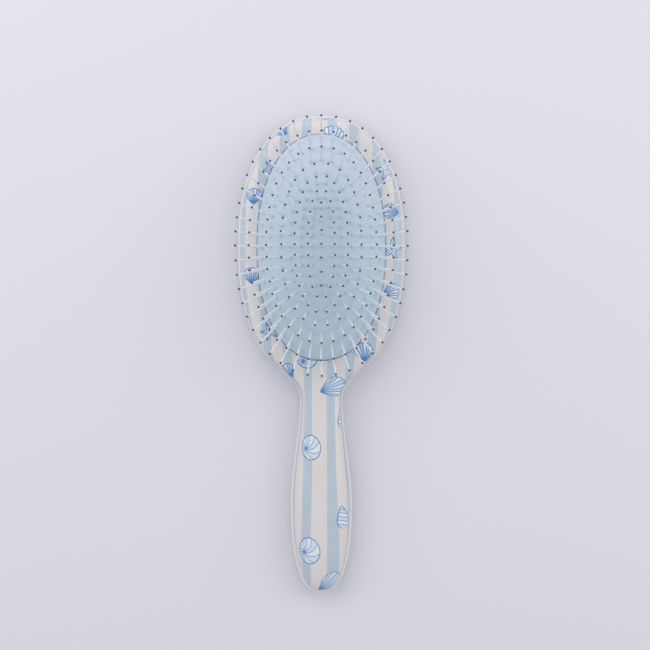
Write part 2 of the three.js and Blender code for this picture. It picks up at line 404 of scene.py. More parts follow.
@dataclass(frozen=True)
class PrintedAbs:
    """Injection-moulded ABS under a printed film with a clear lacquer.

    The print is broad upright stripes with line-drawn shells and stars over them.
    """

    # The film gives crisp edges and slightly uneven ink. The lacquer over it gives a soft gloss, with
    # the faint orange peel that sprayed lacquer keeps.

    name: str
    motifs: tuple[PlacedMotif, ...]
    cream: str = "D8D8D8"
    cream_blush: str = "DCD4D0"
    stripe: str = "BDC9D3"
    stripe_deep: str = "AFC0CC"
    ink: str = "4A80B8"
    wash: str = "A9C6E0"
    paper: str = "DEE5EC"
    bare: str = "E3E2E4"
    bare_from: float = 100.0
    stripe_centres: tuple[float, ...] = (-40.2, -29.2, -18.2, -7.5, 5.3, 16.0, 27.9, 38.2)
    stripe_width: float = 4.9
    pull_centres: tuple[float, float] = (-7.5, 5.2)
    stripe_pull: tuple[tuple[float, float, float, float], ...] = (
        (-119, 1.07, 0.8, 0.93),
        (-90, 1.07, 0.83, 0.935),
        (-60, 0.95, 1.0, 1.05),
        (-20, 1.1, 1.1, 1.142),
        (0, 1.05, 1.08, 1.06),
        (35, 1.0, 1.0, 1.0),
        (119, 1.0, 1.0, 1.0),
    )
    line_width: float = 0.5
    gloss: tuple[float, float] = (0.24, 0.38)
    ink_cloud: float = 9.0
    peel_pitch: float = 1.6  # real peel is nearer 0.5 mm, too fine to show
    half_span: float = 48.0

    def make(self, flatten: Flatten) -> bpy.types.Material:
        """Builds the material.

        Args:
            flatten: Turns a place on the brush into one on the flat film.

        Returns:
            The printed plastic.
        """
        material, tree = new_material(self.name)
        place = add_node(tree, "TexCoord", out="Object")
        film = add_node(tree, "Attribute", out="Vector", attribute_name=FILM)
        cloud_scale, peel_scale = noise_scale(self.ink_cloud), noise_scale(self.peel_pitch)
        wander = add_node(tree, "TexNoise", {"Vector": place, "Scale": cloud_scale, "Detail": 1.0})
        colour = self.stripes(tree, film, wander)
        inside, line, wash = self.shapes(tree, film, flatten)
        colour = add_node(tree, "Mix", {0: inside, 6: colour, 7: linear(self.paper)}, **COLOUR_MIX)
        colour = add_node(tree, "Mix", {0: wash, 6: colour, 7: linear(self.wash)}, **COLOUR_MIX)
        colour = add_node(tree, "Mix", {0: line, 6: colour, 7: linear(self.ink)}, **COLOUR_MIX)
        height = add_node(tree, "SeparateXYZ", place, out=2)
        unprinted = add_node(tree, "Math", height, self.bare_from * MM, operation="GREATER_THAN")
        colour = add_node(tree, "Mix", {0: unprinted, 6: colour, 7: linear(self.bare)}, **COLOUR_MIX)
        peel = add_node(tree, "TexNoise", {"Vector": place, "Scale": peel_scale, "Detail": 1.0})
        bump = add_node(tree, "Bump", {"Strength": 0.05, "Distance": 0.0002, "Height": peel})
        gloss = add_node(tree, "MapRange", {0: wander, 3: self.gloss[0], 4: self.gloss[1]})
        finish_surface(
            tree,
            {
                "Base Color": colour,
                "Roughness": gloss,
                "IOR": 1.53,
                "Coat Weight": 0.25,
                "Coat Roughness": 0.12,
                "Normal": bump,
            },
        )
        return material

    def stripes(self, tree: Tree, film: Socket, wander: Socket) -> Socket:
        """Lays the stripes.

        Args:
            tree: The material's node tree.
            film: The place on the film.
            wander: A slow noise that varies the inks.

        Returns:
            The striped colour.
        """
        parts = add_node(tree, "SeparateXYZ", film).node
        x, pull = self.film_pull(tree, parts.outputs[0], parts.outputs[1])
        left, right = (centre * MM for centre in self.pull_centres)
        on_right = add_node(tree, "Math", x, (left + right) / 2, operation="GREATER_THAN")
        centre = add_node(tree, "Math", on_right, right - left, left, operation="MULTIPLY_ADD")
        off = add_node(tree, "Math", x, centre, operation="SUBTRACT")
        pulled = add_node(tree, "Math", off, pull, centre, operation="MULTIPLY_ADD")
        span = self.half_span * MM
        share = add_node(tree, "MapRange", {0: pulled, 1: -span, 2: span})
        inked = add_node(tree, "ValToRGB", share)
        inked.node.color_ramp.interpolation = "CONSTANT"
        stops = inked.node.color_ramp.elements
        stops[0].position, stops[0].color = 0.0, (0, 0, 0, 1)
        stops.remove(stops[1])
        for centre in self.stripe_centres:
            for edge, ink in ((-0.5, 1.0), (0.5, 0.0)):
                place = centre + edge * self.stripe_width + self.half_span
                stops.new(place / (2 * self.half_span)).color = (ink, ink, ink, 1)
        pairs = ((self.cream, self.cream_blush), (self.stripe, self.stripe_deep))
        cream, blue = (
            add_node(tree, "Mix", {0: wander, 6: linear(plain), 7: linear(deep)}, **COLOUR_MIX)
            for plain, deep in pairs
        )
        return add_node(tree, "Mix", {0: inked, 6: cream, 7: blue}, **COLOUR_MIX)

    def film_pull(self, tree: Tree, x: Socket, y: Socket) -> tuple[Socket, Socket]:
        """Works out how the film is stretched as it is drawn over the neck and the handle.

        Args:
            tree: The material's node tree.
            x: The place across.
            y: The place along.

        Returns:
            The place across before the whole film was drawn in or out, and each stripe's own stretch:
            the stripe is narrower where it is more than 1.
        """
        reach = self.stripe_pull[-1][0]
        along = add_node(tree, "MapRange", {0: y, 1: -reach * MM, 2: reach * MM})
        pull = add_node(tree, "ValToRGB", along)
        stops = pull.node.color_ramp.elements
        stops.remove(stops[1])
        for number, (place, *pulls) in enumerate(self.stripe_pull):
            position = (place + reach) / (2 * reach)
            stop = stops.new(position) if number else stops[0]
            stop.position, stop.color = position, (*(amount / 2 for amount in pulls), 1)
        sides = add_node(tree, "SeparateColor", pull).node
        middle = sum(self.pull_centres) / 2 * MM
        on_right = add_node(tree, "Math", x, middle, operation="GREATER_THAN")
        half = add_node(tree, "Mix", {0: on_right, 2: sides.outputs[0], 3: sides.outputs[1]})
        own = add_node(tree, "Math", half, 2.0, operation="MULTIPLY")
        whole = add_node(tree, "Math", sides.outputs[2], 2.0, operation="MULTIPLY")
        off = add_node(tree, "Math", x, middle, operation="SUBTRACT")
        return add_node(tree, "Math", off, whole, middle, operation="MULTIPLY_ADD"), own

    def shapes(self, tree: Tree, film: Socket, flatten: Flatten) -> tuple[Socket, ...]:
        """Draws every placed motif.

        Args:
            tree: The material's node tree.
            film: The place on the film.
            flatten: Turns a place on the brush into one on the film.

        Returns:
            Masks for the inside, the ink lines and the wash.
        """
        masks: list[Socket | float] = [0.0, 0.0, 0.0]
        for motif in self.motifs:
            u, v = flatten(motif.x, motif.y)
            local = add_node(
                tree,
                "Mapping",
                {
                    "Vector": film,
                    "Location": (u * MM, v * MM, 0),
                    "Rotation": (0, 0, math.radians(motif.turn)),
                    "Scale": (motif.radius * motif.aspect * MM, motif.radius * MM, MM),
                },
                vector_type="TEXTURE",
            )
            line = self.line_width / 2 / motif.radius
            drawing = MOTIF_DRAWINGS.group(motif.kind)
            inside = add_node(tree, "Group", {"Place": local, "Line": line}, node_tree=drawing)
            ink, full = inside.node.outputs["Ink"], inside.node.outputs["Wash"]
            wash = add_node(tree, "Math", full, motif.fill, operation="MULTIPLY")
            found = (inside, ink, wash)
            masks = [add_node(tree, "Math", a, b, operation="MAXIMUM") for a, b in zip(masks, found)]
        return tuple(masks)


class MotifDrawings:
    """The four shapes of the print, each drawn once as a node group on a place of radius 1."""

    def __init__(self) -> None:
        """Starts with nothing drawn."""
        self.drawn: dict[Motif, Tree] = {}

    def group(self, kind: Motif) -> Tree:
        """Returns a shape's node group, and draws it the first time.

        Args:
            kind: The shape.

        Returns:
            Its node group, with inputs Place and Line and outputs Inside, Ink and Wash.
        """
        if kind not in self.drawn:
            tree = bpy.data.node_groups.new(kind.value, "ShaderNodeTree")
            for name, socket in (("Place", "NodeSocketVector"), ("Line", "NodeSocketFloat")):
                tree.interface.new_socket(name, in_out="INPUT", socket_type=socket)
            for name in ("Inside", "Ink", "Wash"):
                tree.interface.new_socket(name, in_out="OUTPUT", socket_type="NodeSocketFloat")
            entry = tree.nodes.new("NodeGroupInput")
            parts = add_node(tree, "SeparateXYZ", entry.outputs["Place"]).node
            draw = getattr(self, kind.value)
            masks = draw(tree, parts.outputs[0], parts.outputs[1], entry.outputs["Line"])
            leave = tree.nodes.new("NodeGroupOutput")
            for i, mask in enumerate(masks):
                tree.links.new(mask, leave.inputs[i])
            self.drawn[kind] = tree
        return self.drawn[kind]

    @staticmethod
    def polar(
        tree: Tree, x: Socket, y: Socket, centre: tuple[float, float] = (0.0, 0.0)
    ) -> tuple[Socket, Socket]:
        """Measures from a centre.

        Args:
            tree: The node tree.
            x: The place across.
            y: The place along.
            centre: Where to measure from.

        Returns:
            The distance, and the angle from +Y.
        """
        across = add_node(tree, "Math", x, centre[0], operation="SUBTRACT")
        along = add_node(tree, "Math", y, centre[1], operation="SUBTRACT")
        square = add_node(tree, "Math", across, across, operation="MULTIPLY")
        total = add_node(tree, "Math", along, along, square, operation="MULTIPLY_ADD")
        distance = add_node(tree, "Math", total, operation="SQRT")
        return distance, add_node(tree, "Math", across, along, operation="ARCTAN2")

    @staticmethod
    def rays(tree: Tree, angle: Socket, distance: Socket, step: float) -> tuple[Socket, Socket]:
        """Divides an angle into equal steps.

        Args:
            tree: The node tree.
            angle: The angle.
            distance: The distance from the point that the rays meet at.
            step: The angle between two rays.

        Returns:
            The distance from the nearest ray, and 0 or 1 in turn from step to step.
        """
        turns = add_node(tree, "Math", angle, step, operation="DIVIDE")
        nearest = add_node(tree, "Math", turns, operation="ROUND")
        left = add_node(tree, "Math", turns, nearest, operation="SUBTRACT")
        off = add_node(tree, "Math", left, operation="ABSOLUTE")
        apart = add_node(tree, "Math", off, distance, operation="MULTIPLY")
        floor = add_node(tree, "Math", turns, operation="FLOOR")
        parity = add_node(tree, "Math", floor, 2.0, operation="FLOORED_MODULO")
        return add_node(tree, "Math", apart, step, operation="MULTIPLY"), parity

    @staticmethod
    def masks(
        tree: Tree, depth: Socket, ribs: Socket, parity: Socket, line: Socket
    ) -> list[Socket]:
        """Turns distances into the three masks.

        Args:
            tree: The node tree.
            depth: How far inside the outline a place lies; negative outside.
            ribs: The distance from the nearest inner line.
            parity: 0 or 1, which panels take the wash.
            line: Half the width of an ink line.

        Returns:
            Masks for the inside, the ink and the wash.
        """
        rib_share = 0.7
        inside = add_node(tree, "Math", depth, 0.0, operation="GREATER_THAN")
        edge = add_node(tree, "Math", depth, operation="ABSOLUTE")
        outline = add_node(tree, "Math", edge, line, operation="LESS_THAN")
        thin = add_node(tree, "Math", line, rib_share, operation="MULTIPLY")
        rib = add_node(tree, "Math", ribs, thin, operation="LESS_THAN")
        inner = add_node(tree, "Math", rib, inside, operation="MULTIPLY")
        ink = add_node(tree, "Math", outline, inner, operation="MAXIMUM")
        return [inside, ink, add_node(tree, "Math", parity, inside, operation="MULTIPLY")]

    def fan_shell(self, tree: Tree, x: Socket, y: Socket, line: Socket) -> list[Socket]:
        """Draws a fan of ribs that spread from a hinge, with a scalloped edge.

        Args:
            tree: The node tree.
            x: The place across.
            y: The place along.
            line: Half the width of an ink line.

        Returns:
            Masks for the inside, the ink and the wash.
        """
        half_angle, step, reach, drop, lobe, rounding = 0.72, 0.18, 1.8, 1.5, 0.09, 0.3
        distance, angle = self.polar(tree, x, y, (0.0, -0.85))
        ribs, parity = self.rays(tree, angle, distance, step)
        square = add_node(tree, "Math", angle, angle, operation="MULTIPLY")
        dome = add_node(tree, "Math", square, -drop, reach, operation="MULTIPLY_ADD")
        phase = add_node(tree, "Math", angle, math.pi / step, operation="MULTIPLY")
        wave = add_node(tree, "Math", phase, operation="SINE")
        crest = add_node(tree, "Math", wave, operation="ABSOLUTE")
        lobes = add_node(tree, "Math", crest, lobe, dome, operation="MULTIPLY_ADD")
        over = add_node(tree, "Math", lobes, distance, operation="SUBTRACT")
        turned = add_node(tree, "Math", angle, operation="ABSOLUTE")
        spread = add_node(tree, "Math", half_angle, turned, operation="SUBTRACT")
        aside = add_node(tree, "Math", spread, distance, operation="MULTIPLY")
        depth = add_node(tree, "Math", over, aside, rounding, operation="SMOOTH_MIN")
        hinge = add_node(tree, "MapRange", {0: distance, 1: 0.3, 2: 1.4, 3: 1.0, 4: 0.0})
        washed = add_node(tree, "Math", parity, hinge, operation="MAXIMUM")
        return self.masks(tree, depth, ribs, washed, line)

    def round_shell(self, tree: Tree, x: Socket, y: Socket, line: Socket) -> list[Socket]:
        """Draws a disc with curved rays that meet off its centre.

        Args:
            tree: The node tree.
            x: The place across.
            y: The place along.
            line: Half the width of an ink line.

        Returns:
            Masks for the inside, the ink and the wash.
        """
        radius, swirl, step, core_radius = 0.95, 0.55, math.pi / 6, 0.06
        distance, _ = self.polar(tree, x, y)
        depth = add_node(tree, "Math", radius, distance, operation="SUBTRACT")
        out, angle = self.polar(tree, x, y, (-0.5, 0.0))
        curl = add_node(tree, "Math", out, swirl, angle, operation="MULTIPLY_ADD")
        ribs, parity = self.rays(tree, curl, out, step)
        core = add_node(tree, "Math", out, core_radius, operation="SUBTRACT")
        rays = add_node(tree, "Math", ribs, core, operation="MINIMUM")
        return self.masks(tree, depth, rays, parity, line)

    def cone_shell(self, tree: Tree, x: Socket, y: Socket, line: Socket) -> list[Socket]:
        """Draws a pointed egg wound with slanting bands.

        Args:
            tree: The node tree.
            x: The place across.
            y: The place along.
            line: Half the width of an ink line.

        Returns:
            Masks for the inside, the ink and the wash.
        """
        width, narrowing, lean, band = 0.56, 0.34, 0.45, 0.36
        square = add_node(tree, "Math", y, y, operation="MULTIPLY")
        within = add_node(tree, "Math", 1.0, square, operation="SUBTRACT")
        kept = add_node(tree, "Math", within, 0.0, operation="MAXIMUM")
        bow = add_node(tree, "Math", kept, operation="SQRT")
        taper = add_node(tree, "Math", y, -narrowing, width, operation="MULTIPLY_ADD")
        half = add_node(tree, "Math", bow, taper, operation="MULTIPLY")
        across = add_node(tree, "Math", x, operation="ABSOLUTE")
        aside = add_node(tree, "Math", half, across, operation="SUBTRACT")
        depth = add_node(tree, "Math", aside, within, operation="MINIMUM")
        slant = add_node(tree, "Math", x, lean, y, operation="MULTIPLY_ADD")
        ribs, parity = self.rays(tree, slant, 1.0, band)
        return self.masks(tree, depth, ribs, parity, line)

    def star(self, tree: Tree, x: Socket, y: Socket, line: Socket) -> list[Socket]:
        """Draws a five-armed star with a line down each arm.

        Args:
            tree: The node tree.
            x: The place across.
            y: The place along.
            line: Half the width of an ink line.

        Returns:
            Masks for the inside, the ink and the wash.
        """
        arms, fullness, half_arm = 5, 0.6, 0.24
        distance, angle = self.polar(tree, x, y)
        middle, _ = self.rays(tree, angle, distance, 2 * math.pi / arms)
        left = add_node(tree, "Math", 1.0, distance, operation="SUBTRACT")
        spared = add_node(tree, "Math", left, 0.0, operation="MAXIMUM")
        full = add_node(tree, "Math", spared, fullness, operation="POWER")
        round_arm = add_node(tree, "Math", full, half_arm, operation="MULTIPLY")
        arm = add_node(tree, "Math", round_arm, left, operation="MINIMUM")
        depth = add_node(tree, "Math", arm, middle, operation="SUBTRACT")
        plain = add_node(tree, "Math", 0.0, 0.0, operation="ADD")
        return self.masks(tree, depth, middle, plain, line)


MOTIF_DRAWINGS = MotifDrawings()


@dataclass(frozen=True)
class MouldedRubber:
    """Compression-moulded synthetic rubber."""

    # The blasted mould gives a satin skin with a fine stipple, and the soft sheen of matt rubber.
    # Towards the far end the colour is painted paler, a painted highlight for the light on the dome's
    # top slope; it also clouds slightly where the rubber stretches.
    name: str = "rubber_moulded_satin"
    middle: str = "BFD2DE"
    # painted highlight: the paler colour that the rubber is mixed to at the head's top end
    far_painted_highlight: str = "CCD5E4"
    stipple_pitch: float = 0.35  # a blasted mould is nearer 0.1 mm, too fine to show
    cloud_pitch: float = 22.0
    painted_highlight_power: float = 4.0
    satin: tuple[float, float] = (0.52, 0.62)

    def make(self, low_y: float, high_y: float) -> bpy.types.Material:
        """Builds the material.

        Args:
            low_y: The cushion's end at the handle, in metres.
            high_y: Its end at the head's top, in metres.

        Returns:
            The rubber.
        """
        material, tree = new_material(self.name)
        place = add_node(tree, "TexCoord", out="Object")
        cloud_scale, stipple_scale = noise_scale(self.cloud_pitch), noise_scale(self.stipple_pitch)
        middle, far_painted_highlight = linear(self.middle), linear(self.far_painted_highlight)
        along = add_node(tree, "SeparateXYZ", place, out=1)
        # Painted highlight: towards the head's top end the colour is mixed to the paler one, for the
        # light that falls on that slope.
        way = {0: along, 1: low_y, 2: high_y}
        height = add_node(tree, "MapRange", way, interpolation_type="SMOOTHSTEP")
        painted_highlight_fade = add_node(tree, "Math", height, self.painted_highlight_power, operation="POWER")
        cloud = add_node(tree, "TexNoise", {"Vector": place, "Scale": cloud_scale, "Detail": 2.0})
        share = add_node(tree, "Math", cloud, 0.12, painted_highlight_fade, operation="MULTIPLY_ADD")
        colour = add_node(tree, "Mix", {0: share, 6: middle, 7: far_painted_highlight}, **COLOUR_MIX)
        stipple = add_node(tree, "TexNoise", {"Vector": place, "Scale": stipple_scale, "Detail": 1.0})
        bump = add_node(tree, "Bump", {"Strength": 0.12, "Distance": 0.0001, "Height": stipple})
        low, high = self.satin
        rough = add_node(tree, "MapRange", {0: cloud, 1: 0.3, 2: 0.7, 3: low, 4: high})
        finish_surface(
            tree,
            {
                "Base Color": colour,
                "Roughness": rough,
                "IOR": 1.5,
                "Sheen Weight": 0.25,
                "Sheen Roughness": 0.5,
                "Normal": bump,
            },
        )
        return material


@dataclass(frozen=True)
class SmoothPlastic:
    """A moulded or dipped plastic of one colour."""

    # The melt's flow leaves the colour and the shine very slightly clouded.
    name: str
    light: str
    dark: str
    roughness: float
    cloud_pitch: float = 3.0
    shine_change: float = 0.05

    def make(self) -> bpy.types.Material:
        """Builds the material.

        Returns:
            The plastic.
        """
        material, tree = new_material(self.name)
        place = add_node(tree, "TexCoord", out="Object")
        scale = noise_scale(self.cloud_pitch)
        light, dark = linear(self.light), linear(self.dark)
        cloud = add_node(tree, "TexNoise", {"Vector": place, "Scale": scale, "Detail": 2.0})
        colour = add_node(tree, "Mix", {0: cloud, 6: light, 7: dark}, **COLOUR_MIX)
        low, high = self.roughness - self.shine_change, self.roughness + self.shine_change
        rough = add_node(tree, "MapRange", {0: cloud, 1: 0.3, 2: 0.7, 3: low, 4: high})
        finish_surface(tree, {"Base Color": colour, "Roughness": rough, "IOR": 1.53})
        return material


# ---- Sub-assemblies ----


@dataclass
class Cushion:
    """The air-filled rubber cushion, a dome on a short neck, with a collar round every pin."""

    centre: float
    rim: float = 11.5
    rise: float = 12.0
    travel: float = 3.5
    dome_power: float = 2.9
    oval: Oval = Oval(31.9, 56.2, 2.2)
    neck: float = 1.6
    around: int = 192
    rings: int = 64
    ring_crowding: float = 0.85
    fill: float = 0.9
    collar_radius: float = 0.78
    collar_thickness: float = 0.24
    collar_sides: tuple[int, int] = (14, 6)

    def height(self, x: float, y: float) -> float:
        """Returns the rubber's height at a place measured from the head's centre."""
        return self.rim + self.rise * max(0.0, 1 - self.oval.share(x, y) ** self.dome_power)

    def build(self, pins: list[Pin]) -> bpy.types.Object:
        """Builds the rubber and its collars.

        Args:
            pins: Every pin that stands in it.

        Returns:
            The cushion, riding on the handle's body.
        """
        rim = self.oval.points(self.around)
        points = [(0.0, self.centre, self.rim + self.rise)]
        for share in np.linspace(0, 1, self.rings + 1)[1:] ** self.ring_crowding:
            z = self.rim + self.rise * (1 - share**self.dome_power)
            points += [(x, y + self.centre, z) for x, y in rim * share]
        points += [(x, y + self.centre, self.rim - self.neck) for x, y in rim]
        points.append((0.0, self.centre, self.rim - self.neck))
        faces = turned_faces(self.rings + 1, self.around)
        for pin in pins:
            self.add_collar(pin, points, faces)
        low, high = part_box("cushion")
        rubber = MouldedRubber().make(low.y, high.y)
        piece = make_piece("rubber_cushion", np.array(points), faces, rubber)
        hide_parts("cushion")
        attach(piece, "handle")
        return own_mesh(piece)

    def add_collar(self, pin: Pin, points: list, faces: list) -> None:
        """Adds the raised lip that the rubber makes round a pin.

        Args:
            pin: The pin.
            points: The cushion's vertices, which grow.
            faces: The cushion's faces, which grow.
        """
        around, section = self.collar_sides
        first = len(points)
        for i in range(around):
            turn = 2 * math.pi * i / around
            outward = pin.side * math.cos(turn) + pin.along * math.sin(turn)
            for j in range(section):
                lean = 2 * math.pi * j / section
                radius = self.collar_radius + self.collar_thickness * math.cos(lean)
                lift = self.collar_thickness * math.sin(lean)
                points.append(tuple(pin.root + outward * radius + pin.way * lift))
        for i in range(around):
            for j in range(section):
                corners = ((i, j), (i + 1, j), (i + 1, j + 1), (i, j + 1))
                faces.append(tuple(first + (a % around) * section + b % section for a, b in corners))


@dataclass(frozen=True)
class Pin:
    """One pin's place: where it leaves the rubber, the way it points, and two ways square to that."""

    root: Vector
    way: Vector
    side: Vector
    along: Vector


@dataclass(frozen=True)
class Ring:
    """An oval of pins, with the half-sizes of the ovals that their bases and tips lie on."""

    pins: int
    strips: int
    base: tuple[float, float]
    tip: tuple[float, float]
    on_axis: bool


@dataclass
class PinField:
    """All the pins: a centre row and six oval rings."""

    centre: float
    cushion: Cushion
    length: float = 17.0
    exponent: float = 2.15
    row_pins: int = 7
    row_pitches: tuple[float, float] = (6.13, 6.62)
    sides: int = 14
    jitter: float = 0.006
    seed: int = 7
    ball_radius: float = 0.58
    ball_stretch: float = 1.08
    ball_arc: tuple[float, float, int] = (-1.25, 1.45, 9)
    shaft: tuple[tuple[float, float], ...] = (
        (0.95, -2.4),
        (1.05, -2.25),
        (1.0, -1.95),
        (0.62, -1.75),
        (0.6, 0.0),
        (0.54, 5.0),
        (0.44, 11.0),
        (0.34, 16.6),
    )
    rings: tuple[Ring, ...] = (
        Ring(22, 4, (5.0, 24.8), (6.5, 26.5), False),
        Ring(30, 6, (10.2, 31.4), (12.9, 33.1), False),
        Ring(30, 6, (15.4, 36.4), (19.5, 39.4), False),
        Ring(40, 8, (20.1, 42.9), (26.7, 47.6), True),
        Ring(48, 8, (25.2, 49.2), (35.3, 55.8), True),
        Ring(48, 8, (29.5, 54.3), (42.2, 63.6), True),
    )
    groups: dict[str, list[Pin]] = field(default_factory=dict)
    nodes: dict[str, list[str]] = field(default_factory=dict)

    def plan(self) -> list[Pin]:
        """Works out every pin's place, by the body that it moves with.

        Returns:
            All the pins.
        """
        chance = random.Random(self.seed)
        middle = (self.row_pins - 1) / 2
        steps = [middle - i for i in range(self.row_pins)]
        row = [[(0.0, step * pitch) for step in steps] for pitch in self.row_pitches]
        self.groups["pins_centre"] = [self.pin(base, tip, chance) for base, tip in zip(*row)]
        self.nodes["pins_centre"] = ["pin_row_centre"]
        for number, ring in enumerate(self.rings, start=1):
            offset = 0.0 if ring.on_axis else 0.5
            bases = Oval(*ring.base, self.exponent).points(ring.pins, offset)
            tips = Oval(*ring.tip, self.exponent).points(ring.pins, offset)
            body = f"pins_ring_{number}"
            self.groups[body] = [self.pin(base, tip, chance) for base, tip in zip(bases, tips)]
            self.nodes[body] = [f"pin_strip_{number}_{s + 1}" for s in range(ring.strips)]
        return [pin for group in self.groups.values() for pin in group]

    def pin(self, base: Any, tip: Any, chance: random.Random) -> Pin:
        """Places one pin.

        Args:
            base: Where it leaves the rubber, from the head's centre.
            tip: Where its tip lies, from the head's centre.
            chance: The source of the slight unevenness of real pins.

        Returns:
            The pin.
        """
        root = Vector((base[0], base[1] + self.centre, self.cushion.height(base[0], base[1])))
        lean = Vector((tip[0] - base[0], tip[1] - base[1], 0))
        way = (lean + Vector((0, 0, math.sqrt(self.length**2 - lean.length_squared)))).normalized()
        way = (way + Vector([chance.gauss(0, self.jitter) for _ in range(3)])).normalized()
        side = way.orthogonal().normalized()
        return Pin(root, way, side, way.cross(side))

    def turned(self, pin: Pin, profile: list[tuple[float, float]], points: list, faces: list) -> None:
        """Adds a form turned about a pin's axis.

        Args:
            pin: The pin.
            profile: Radius and height pairs from below upwards, without the two closing ends.
            points: The vertices, which grow.
            faces: The faces, which grow.
        """
        first = len(points)
        points.append(tuple(pin.root + pin.way * profile[0][1]))
        for radius, height in profile:
            for i in range(self.sides):
                turn = 2 * math.pi * i / self.sides
                outward = pin.side * math.cos(turn) + pin.along * math.sin(turn)
                points.append(tuple(pin.root + outward * radius + pin.way * height))
        points.append(tuple(pin.root + pin.way * profile[-1][1]))
        faces += turned_faces(len(profile), self.sides, first)

    def build(self) -> list[bpy.types.Object]:
        """Builds the shafts and the ball tips of every group.

        Returns:
            The pieces.
        """
        # Moulded nylon is milky and half glossy; the grey dip over its tips is smooth and closed.
        nylon = SmoothPlastic("nylon_moulded_milky", "E9EEF5", "DDE5EE", 0.36).make()
        dipped = SmoothPlastic("nylon_tip_dipped_grey", "4E5058", "42444C", 0.36, 0.8).make()
        radius, tall = self.ball_radius, self.ball_radius * self.ball_stretch
        arc = np.linspace(*self.ball_arc)
        ball = [(radius * math.cos(a), self.length + tall * math.sin(a)) for a in arc]
        pieces = []
        parts = (("shafts", list(self.shaft), nylon), ("tips", ball, dipped))
        for body, pins in self.groups.items():
            for part, profile, material in parts:
                points: list = []
                faces: list = []
                for pin in pins:
                    self.turned(pin, profile, points, faces)
                piece = make_piece(f"{body}_{part}", np.array(points), faces, material)
                if part == "shafts":
                    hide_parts(*self.nodes[body])
                pieces.append(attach(piece, body))
        return pieces


